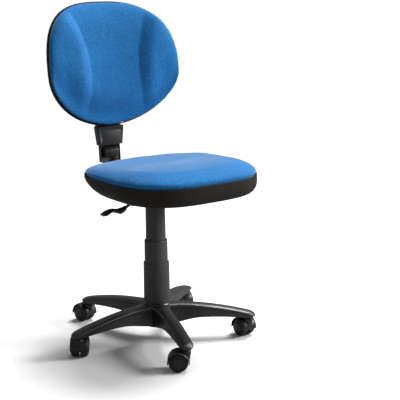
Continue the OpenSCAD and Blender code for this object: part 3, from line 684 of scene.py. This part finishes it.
def buildUpperSleeve(p):
    bm = bmesh.new()
    box = addBlock(bm, (-p["upperTopHalf"], p["upperFront"], p["upperLow"]),
                   (p["upperTopHalf"], p["upperRear"], p["upperTop"]))
    for v in box:
        if v.co.z < -0.05:
            v.co.x *= p["upperLowHalf"] / p["upperTopHalf"]
            v.co.y += 0.002 if v.co.y < 0 else 0
    bm.normal_update()
    front = facing(bm, (0, -1, 0))
    bmesh.ops.inset_individual(bm, faces=[front], thickness=0.0085, depth=0)
    # thumb recess with a ramp at its foot
    for v in front.verts:
        low = v.co.z < -0.03
        v.co.y += 0.0015 if low else 0.006
        v.co.z += -0.0020 if low else -0.018
        v.co.x *= 0.86
    bm.normal_update()
    under = facing(bm, (0, 0, -1))
    bmesh.ops.inset_individual(bm, faces=[under], thickness=0.0025, depth=0)
    bmesh.ops.translate(bm, verts=under.verts, vec=(0, 0, 0.0525))
    roundEdges(bm, 0.0013, 3, 28)
    tongue = bmesh.new()

    def tonguePoint(u, v):
        # u runs round the corners, v up the outside and down the slot for the bar
        corner, ring = round(4 * u) % 4, round(4 * v) % 4
        if ring < 2:
            x, front, rear = p["tongueHalf"], p["tongueFront"], p["upperRear"]
        else:
            x, front, rear = p["slotHalf"], p["slotFront"], p["slotRear"]
        return Vector((x if corner in (0, 3) else -x, front if corner < 2 else rear,
                       p["tongueTop"] if ring in (1, 2) else p["tongueLow"]))

    mapGrid(tongue, 4, 4, tonguePoint)
    mergeDoubles(tongue)
    roundEdges(tongue, 0.0012, 3)
    join(bm, tongue)
    bmesh.ops.transform(bm, matrix=barFrame, verts=bm.verts)
    return makePiece("upperSleeve", bm, finishes["hard_plastic"], "backrest",
                     ["upright_sleeve_upper"], 30)


def buildLowerSleeve(p):
    bm = bmesh.new()
    addBlock(bm, (-p["lowerHalf"], p["lowerFront"], p["lowerLow"]),
             (p["lowerHalf"], p["lowerRear"], p["lowerTop"]))
    bm.normal_update()
    front = facing(bm, (0, -1, 0))
    bmesh.ops.inset_individual(bm, faces=[front], thickness=0.0035, depth=0)
    bmesh.ops.translate(bm, verts=front.verts, vec=(0, 0.004, 0))
    roundEdges(bm, 0.0012, 3, 30)
    latch = bmesh.new()
    addBlock(latch, (-p["latchHalf"], p["latchFront"], p["latchLow"]),
             (p["latchHalf"], -0.004, p["latchTop"]))
    latch.normal_update()
    upper = [e for e in latch.edges if all(v.co.z > -0.07 and v.co.y < -0.01 for v in e.verts)]
    roundEdges(latch, 0.0125, 1, edges=upper)
    roundEdges(latch, 0.0009, 2, 25)
    join(bm, latch)
    # ratchet teeth below the latch
    for z in (-0.0995, -0.1065):
        tooth = bmesh.new()
        addBlock(tooth, (0.0035, p["lowerFront"] - 0.0045, z - 0.0018),
                 (0.0225, p["lowerFront"] + 0.004, z + 0.0018))
        roundEdges(tooth, 0.0006, 2)
        join(bm, tooth)
    bmesh.ops.transform(bm, matrix=barFrame, verts=bm.verts)
    return makePiece("lowerSleeve", bm, finishes["hard_plastic"], "back_arm",
                     ["upright_sleeve_lower"], 30)


buildUpperSleeve(sleeve)
buildLowerSleeve(sleeve)
print("sleeves built")


# seat

seat = {
    "power": 3.0,
    "tuckSide": 0.038,
    "tuckFront": 0.017,
    "tuckRear": 0.095,
    "wall": 0.003,
    "band": 0.008,
    "panSteps": 22,
    "padSide": 0.0100,
    "padRoll": 0.050,
    "padTop": 0.0265,
    "padRise": 0.007,
    "stapleHeight": 0.0035,
}
seatLow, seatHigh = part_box("seat_shell")
seatHalf = Vector((seatHigh.x, (seatHigh.y - seatLow.y) / 2 + 0.0001))
seatMiddleY = (seatHigh.y + seatLow.y) / 2


def seatOutline(turn, side, front, rear, scale=1):
    x, y = roundPoint(seatHalf.x - side, seatHalf.y - (front + rear) / 2, seat["power"], turn)
    return Vector((x * scale, y * scale + seatMiddleY - (rear - front) / 2, 0))


def seatShare(x, y):
    # 0 in the middle of the seat, 1 at its outline
    n = seat["power"]
    return (abs(x / seatHalf.x) ** n + abs((y - seatMiddleY) / seatHalf.y) ** n) ** (1 / n)


def buildPan(p):
    rim, floor, wall = seatHigh.z, seatLow.z + 0.0002, p["wall"]
    path = [(rim, wall, wall, wall, 1), (rim, 0.0003, 0.0003, 0.0003, 1),
            (rim - 0.0004, 0, 0, 0, 1)]
    for i in range(p["panSteps"] + 1):
        t = i / p["panSteps"]
        under = 1 - math.sqrt(max(0, 1 - t ** 2.4))
        rear = 0.55 * t ** 1.15 + 0.45 * (1 - math.sqrt(max(0, 1 - t * t)))
        z = rim - p["band"] - (rim - p["band"] - floor) * t
        path.append((z, p["tuckSide"] * under, p["tuckFront"] * under, p["tuckRear"] * rear, 1))
    outside = path[2:]
    path += [(floor, *path[-1][1:4], share) for share in (0.9, 0.6, 0.3, 0)]
    inside = [(max(z, floor + wall), side + wall, front + wall, rear + wall, 1)
              for z, side, front, rear, scale in outside]
    middleOut = [(floor + wall, *inside[-1][1:4], share) for share in (0, 0.4, 0.8)]
    path = middleOut + inside[::-1] + path

    def panPoint(u, v):
        z, side, front, rear, scale = path[round(v * (len(path) - 1))]
        place = seatOutline(-2 * math.pi * u, side, front, rear, scale)
        place.z = z
        return place

    bm = bmesh.new()
    mapGrid(bm, 160, len(path) - 1, panPoint)
    mergeDoubles(bm, 0.00002)
    return makePiece("seatPan", bm, finishes["seat_shell_plastic"], "seat",
                     ["seat_shell"], 30)


buildPan(seat)
print("seat pan built")


# cushions

cushion = {
    "voxel": 0.0055,
    "quickVoxel": 0.006,
    "pressure": 4,
    "stretch": 25,
    "bending": 10,
    "frames": 20,
    "evenPasses": 45,
}


def bake(piece):
    # the mesh with its modifiers applied
    graph = bpy.context.evaluated_depsgraph_get()
    mesh = bpy.data.meshes.new_from_object(piece.evaluated_get(graph))
    piece.modifiers.clear()
    old, piece.data = piece.data, mesh
    mesh.name = piece.name
    bpy.data.meshes.remove(old)


def inflate(piece, cap, held, p=cushion):
    # a cloth skin blown up a little over its foam; held(co) is true where it is stapled down
    voxel = p["voxel"]
    addModifier(piece, "REMESH", mode="VOXEL", voxel_size=voxel, use_smooth_shade=True)
    bake(piece)
    mesh = piece.data
    start = coordsOf(mesh)
    pins = piece.vertex_groups.new(name="stapled")
    pins.add([v.index for v in mesh.vertices if held(v.co)], 1, "REPLACE")
    cloth = piece.modifiers.new("Cloth", "CLOTH")
    settings = cloth.settings
    settings.use_pressure = True
    settings.uniform_pressure_force = p["pressure"]
    settings.vertex_group_mass = pins.name
    settings.effector_weights.gravity = 0
    settings.tension_stiffness = p["stretch"]
    settings.compression_stiffness = p["stretch"]
    settings.bending_stiffness = p["bending"]
    settings.quality = 5
    cloth.collision_settings.use_self_collision = False
    cloth.point_cache.frame_start = 1
    cloth.point_cache.frame_end = p["frames"]
    scene = bpy.context.scene
    for step in range(1, p["frames"] + 1):
        scene.frame_set(step)
    graph = bpy.context.evaluated_depsgraph_get()
    moved = coordsOf(piece.evaluated_get(graph).data)
    piece.modifiers.remove(cloth)
    scene.frame_set(1)
    steps = moved - start
    lengths = np.linalg.norm(steps, axis=1, keepdims=True)
    steps *= np.minimum(1, cap / np.maximum(lengths, 1e-9))
    steps = spread(mesh, steps, p["evenPasses"])
    mesh.vertices.foreach_set("co", (start + steps).ravel())
    mesh.update()


def coordsOf(mesh):
    coords = np.empty(len(mesh.vertices) * 3)
    mesh.vertices.foreach_get("co", coords)
    return coords.reshape(-1, 3)


def spread(mesh, steps, times):
    # evens the movement out over neighbouring points, as firm foam under the cloth does
    ends = np.empty(len(mesh.edges) * 2, dtype=np.int64)
    mesh.edges.foreach_get("vertices", ends)
    a, b = ends.reshape(-1, 2).T
    share = np.bincount(ends, minlength=len(steps))[:, None]
    for i in range(times):
        around = np.zeros_like(steps)
        np.add.at(around, a, steps[b])
        np.add.at(around, b, steps[a])
        steps = (steps + around / share) / 2
    return steps


def smoothSkin(piece, times):
    bm = bmesh.new()
    bm.from_mesh(piece.data)
    for i in range(times):
        bmesh.ops.smooth_vert(bm, verts=bm.verts, factor=0.5, use_axis_x=True, use_axis_y=True,
                              use_axis_z=True)
    bm.to_mesh(piece.data)
    bm.free()


def reshape(piece, move):
    for v in piece.data.vertices:
        v.co = move(v.co)


def finishPad(piece):
    smoothSkin(piece, 2)
    addModifier(piece, "SUBSURF", levels=1, render_levels=1)
    bake(piece)
    piece.data.shade_smooth()


def buildSeatPad(p):
    rim = seatHigh.z
    side, roll, top = p["padSide"], p["padRoll"], p["padTop"]
    path = [(rim - 0.006, 0.012, share) for share in (0, 0.5, 0.85, 1)]
    path += [(rim - 0.003, 0.006, 1), (rim + 0.0006, 0.0022, 1), (rim + 0.003, 0.0004, 1)]
    for i in range(13):
        t = i / 12 * math.pi / 2
        path.append((rim + side + (top - side) * math.sin(t) ** 0.9, roll * (1 - math.cos(t)), 1))
    path += [(rim + top, roll, share) for share in (0.9, 0.75, 0.55, 0.35, 0.15, 0)]

    def padPoint(u, v):
        z, tuck, scale = path[round(v * (len(path) - 1))]
        place = seatOutline(2 * math.pi * u, tuck, tuck, tuck, scale)
        place.z = z
        return place

    bm = bmesh.new()
    mapGrid(bm, 120, len(path) - 1, padPoint)
    mergeDoubles(bm, 0.00002)
    pad = makePiece("seatPad", bm, finishes["upholstery"], "seat",
                    ["seat_cushion"], 180)
    inflate(pad, p["padRise"], lambda co: co.z < rim + p["stapleHeight"])

    def crown(co):
        # dished for sitting, raised at the back and rolled over in front
        height = co.z - rim
        if height < 0.001:
            return co
        y = co.y - seatMiddleY
        inner = smoothStep((1 - seatShare(co.x, co.y)) / 0.30)
        lift = 0.0045 * hill(y + 0.085, 0.095) - 0.0100 * hill(y - 0.045, 0.100) * hill(co.x, 0.17)
        rear = -0.0075 * smoothStep((y - 0.060) / 0.105)
        share = min(1, height / 0.016)
        return Vector((co.x, co.y, co.z + (lift * inner + rear * (0.35 + 0.65 * share)) * share))

    reshape(pad, crown)
    finishPad(pad)
    return pad


buildSeatPad(seat)
print("seat cushion built")


# backrest

back = {
    "middle": (0, 0.2450, 0.7751),
    "lean": 9,
    "radius": 0.500,
    "spine": 0.24,
    "spineMiddle": 0.003,
    "half": 0.2130,
    "up": 0.214,
    "down": 0.1455,
    "widest": -0.038,
    "topPower": 2.7,
    "lowPower": 1.9,
    "shellRear": 0.016,
    "shellWall": 0.003,
    "pocketHalf": 0.048,
    "pocketDepth": 0.0445,
    "pocketTop": -0.035,
    "padFront": -0.0275,
    "padRoll": 0.030,
    "padRise": 0.006,
    "stapleDepth": -0.006,
    "crease": 0.080,
    "creaseShift": 0.005,
    "lowRoll": 1.5,
    "creaseSpread": 0.044,
    "wingHeight": 0.0125,
    "wingRise": 0.042,
    "flankDrop": 0.011,
}
backFrame = Matrix.Translation(Vector(back["middle"])) @ \
    Matrix.Rotation(math.radians(-back["lean"]), 4, "X")


def backOutline(turn, tuck, scale=1):
    high = math.sin(turn) > 0
    x, z = roundPoint(back["half"] - tuck, back["up" if high else "down"] - tuck,
                      back["topPower" if high else "lowPower"], turn)
    return x * scale, z * scale + back["widest"]


def bend(x, y, z):
    # flat backrest coordinates, wrapped round its cylinder and bowed along its spine
    r = back["radius"]
    y = math.sqrt((r + y) ** 2 - x * x) - r + back["spine"] * z * z - back["spineMiddle"]
    return Vector((x, y, z))


def backSurface(path, around, bm, lowRoll=0):
    # path holds (depth, tuck, scale) from one pole to the other
    def place(u, v):
        y, tuck, scale = path[round(v * (len(path) - 1))]
        under = smoothStep(-math.sin(2 * math.pi * u) / 0.6)
        x, z = backOutline(2 * math.pi * u, tuck * (1 + lowRoll * under), scale)
        return bend(x, y, z)
    mapGrid(bm, around, len(path) - 1, place)
    mergeDoubles(bm, 0.00002)


def buildBackShell(p):
    rear, wall = p["shellRear"], p["shellWall"]
    scales = (0, 0.2, 0.4, 0.6, 0.8, 0.93)
    path = [(rear - wall, 0.012, s) for s in (*scales, 1)]
    path += [(0.008, 0.0045, 1), (0.002, 0.0030, 1), (-0.0012, 0.0030, 1),
             (-0.0018, 0.0022, 1), (-0.0020, 0.0012, 1), (-0.0016, 0.0003, 1), (-0.0005, 0, 1)]
    for i in range(11):
        t = i / 10 * math.pi / 2
        path.append((0.003 + (rear - 0.003) * math.sin(t), 0.013 * (1 - math.cos(t)) ** 1.3, 1))
    path += [(rear, 0.013, s) for s in scales[::-1]]
    bm = bmesh.new()
    backSurface(path, 168, bm)
    pocket = bmesh.new()
    h, depth, top = p["pocketHalf"], p["pocketDepth"], p["pocketTop"]
    low = p["widest"] - p["down"] + 0.0075
    box = addBlock(pocket, (-h, rear - wall, low), (h, depth, top))
    for v in box:
        if v.co.y > rear:
            v.co.x *= 0.93
            if v.co.z > -0.1:
                v.co.z -= 0.012
    pocket.normal_update()
    under = facing(pocket, (0, 0, -1))
    bmesh.ops.inset_individual(pocket, faces=[under], thickness=wall, depth=0)
    bmesh.ops.translate(pocket, verts=under.verts, vec=(0, 0, top - low - 0.014))
    corners = [e for e in sharpEdges(pocket, 35) if max(v.co.y for v in e.verts) > depth - 0.001
               and not all(v.co.z < low + 0.006 for v in e.verts)]
    roundEdges(pocket, 0.007, 5, edges=corners)
    roundEdges(pocket, 0.0008, 2, 50)
    for v in pocket.verts:
        v.co.y += p["spine"] * v.co.z ** 2 - p["spineMiddle"]
    # where the sleeve passes into the pocket
    opening = bmesh.new()
    addBlock(opening, (wall - h, 0.004, low - 0.03), (h - wall, depth - 0.004, top - 0.016))
    shell = makePiece("backShell", bm, finishes["seat_shell_plastic"],
                      "backrest", ["back_shell"], 35)
    mesh = bpy.data.meshes.new("opening")
    opening.to_mesh(mesh)
    opening.free()
    cutter = bpy.data.objects.new("opening", mesh)
    bpy.context.scene.collection.objects.link(cutter)
    addModifier(shell, "BOOLEAN", object=cutter, operation="DIFFERENCE", solver="EXACT")
    bake(shell)
    bpy.data.objects.remove(cutter)
    whole = bmesh.new()
    whole.from_mesh(shell.data)
    join(whole, pocket)
    bmesh.ops.transform(whole, matrix=backFrame, verts=whole.verts)
    shade(whole, 35)
    whole.to_mesh(shell.data)
    whole.free()
    return shell


def buildBackPad(p):
    front, roll = p["padFront"], p["padRoll"]
    path = [(0.004, 0.007, s) for s in (0, 0.5, 0.85, 1)]
    path += [(-0.0015, 0.0055, 1), (-0.0032, 0.0014, 1), (-0.006, 0.0002, 1)]
    for i in range(13):
        t = i / 12 * math.pi / 2
        path.append((-0.009 + (front + 0.009) * math.sin(t), roll * (1 - math.cos(t)), 1))
    path += [(front, roll, s) for s in (0.9, 0.75, 0.55, 0.35, 0.15, 0)]
    bm = bmesh.new()
    backSurface(path, 120, bm, p["lowRoll"])
    pad = makePiece("backPad", bm, finishes["upholstery"], "backrest",
                    ["back_cushion"], 180)
    inflate(pad, p["padRise"], lambda co: unbend(co) > p["stapleDepth"])

    def bolster(co):
        # two raised wings beside a flat middle panel, closest together at the waist
        depth = unbend(co)
        face = smoothStep((-depth - 0.012) / 0.013)
        waist = p["crease"] + p["creaseSpread"] * min(1.4, abs((co.z + 0.030) / 0.170)) ** 2
        beyond = abs(co.x - p["creaseShift"]) - waist
        rise = math.sin(math.pi / 2 * min(1, max(0, beyond) / p["wingRise"]))
        wing = rise * (1 - 1.15 * smoothStep((beyond - 0.024) / 0.095))
        seam = 0.0012 * math.exp(-(beyond / 0.0035) ** 2)
        below = max(0, p["widest"] + 0.04 - co.z) / (p["down"] + 0.04)
        flank = smoothStep((math.hypot(co.x / p["half"], below) - 0.50) / 0.50) * min(1, below * 3)
        return co + Vector((0, -(p["wingHeight"] * wing * (1 - 0.6 * flank) - seam
                                 - p["flankDrop"] * flank) * face, 0))

    reshape(pad, bolster)
    finishPad(pad)
    pad.data.transform(backFrame)
    return pad


def unbend(co):
    r = back["radius"]
    y = co.y - back["spine"] * co.z ** 2 + back["spineMiddle"]
    return math.sqrt((y + r) ** 2 + co.x ** 2) - r


buildBackShell(back)
buildBackPad(back)
print("backrest built")


# finishes on the CAD pieces that stay

for row in frame["record"]["subparts"]:
    cadPiece = frame["nodes"][row["node"]]
    cadPiece.data.materials.clear()
    cadPiece.data.materials.append(finishes[row["material_slot"]])
print("finishes given")


# floor, light and camera

stage = {
    "floorSize": 14,
    "world": 0.22,
    "paperSeen": 0.92,
    "paperReflected": 0.30,
    "key": ((2.7, -1.8, 1.9), 1.1, 118),
    "sunFrom": (0.45, 0.10, 1.0),
    "sun": 3.3,
    "sunSpread": 30,
}


def addLamp(name, place, size, power, target=(0, 0, 0.45)):
    data = bpy.data.lights.new(name, "AREA")
    data.energy = power
    data.size = size
    lamp = bpy.data.objects.new(name, data)
    lamp.location = place
    lamp.rotation_euler = (Vector(target) - Vector(place)).to_track_quat("-Z", "Y").to_euler()
    bpy.context.scene.collection.objects.link(lamp)


def buildStage(p):
    bm = bmesh.new()
    bmesh.ops.create_grid(bm, x_segments=2, y_segments=2, size=p["floorSize"] / 2)
    mesh = bpy.data.meshes.new("floor")
    bm.to_mesh(mesh)
    bm.free()
    floor = bpy.data.objects.new("floor", mesh)
    bpy.context.scene.collection.objects.link(floor)
    paper = bpy.data.materials.new("paper")
    paper.use_nodes = True
    shader = paper.node_tree.nodes["Principled BSDF"]
    seen = paper.node_tree.nodes.new("ShaderNodeLightPath")
    # bright to look at, dull as a reflector
    pale = paper.node_tree.nodes.new("ShaderNodeMix")
    pale.data_type = "RGBA"
    for socket, value in (("A", p["paperReflected"]), ("B", p["paperSeen"])):
        pale.inputs[socket].default_value = (value, value, value, 1)
    paper.node_tree.links.new(seen.outputs["Is Camera Ray"], pale.inputs["Factor"])
    paper.node_tree.links.new(pale.outputs["Result"], shader.inputs["Base Color"])
    shader.inputs["Roughness"].default_value = 0.9
    shader.inputs["Specular IOR Level"].default_value = 0.1
    mesh.materials.append(paper)
    world = bpy.context.scene.world or bpy.data.worlds.new("studio")
    bpy.context.scene.world = world
    world.use_nodes = True
    background = world.node_tree.nodes["Background"]
    background.inputs["Color"].default_value = (1, 1, 1, 1)
    rays = world.node_tree.nodes.new("ShaderNodeLightPath")
    # white behind, dimmer as a lamp
    seen = world.node_tree.nodes.new("ShaderNodeMapRange")
    seen.inputs["To Min"].default_value = p["world"]
    seen.inputs["To Max"].default_value = 1.0
    world.node_tree.links.new(rays.outputs["Is Camera Ray"], seen.inputs["Value"])
    world.node_tree.links.new(seen.outputs["Result"], background.inputs["Strength"])
    addLamp("keyLight", *p["key"])
    data = bpy.data.lights.new("overhead", "SUN")
    data.energy = p["sun"]
    data.angle = math.radians(p["sunSpread"])
    overhead = bpy.data.objects.new("overhead", data)
    overhead.rotation_euler = Vector(p["sunFrom"]).to_track_quat("Z", "Y").to_euler()
    bpy.context.scene.collection.objects.link(overhead)


camera = {
    "azimuth": -36,
    "elevation": 12.593,
    "distance": 2.808,
    "target": (0.1019, -0.0740, 0.4055),
    "lens": 90.3,
    "roll": 0.64,
}


def buildCamera(p):
    turn, rise, roll = (math.radians(p[k]) for k in ("azimuth", "elevation", "roll"))
    level = math.cos(rise)
    away = Vector((math.sin(turn) * level, -math.cos(turn) * level, math.sin(rise)))
    right = Vector((math.cos(turn), math.sin(turn), 0))
    up = away.cross(right)
    data = bpy.data.cameras.new("camera")
    data.lens = p["lens"]
    data.sensor_width = 36
    data.clip_end = 50
    view = bpy.data.objects.new("camera", data)
    bpy.context.scene.collection.objects.link(view)
    rightRolled = right * math.cos(roll) - up * math.sin(roll)
    upRolled = up * math.cos(roll) + right * math.sin(roll)
    axes = Matrix((rightRolled, upRolled, away)).transposed().to_4x4()
    view.matrix_world = Matrix.Translation(Vector(p["target"]) + away * p["distance"]) @ axes
    bpy.context.scene.camera = view


buildStage(stage)
buildCamera(camera)
bpy.context.scene.view_settings.view_transform = "Standard"
bpy.context.view_layer.update()
print("stage and camera set")
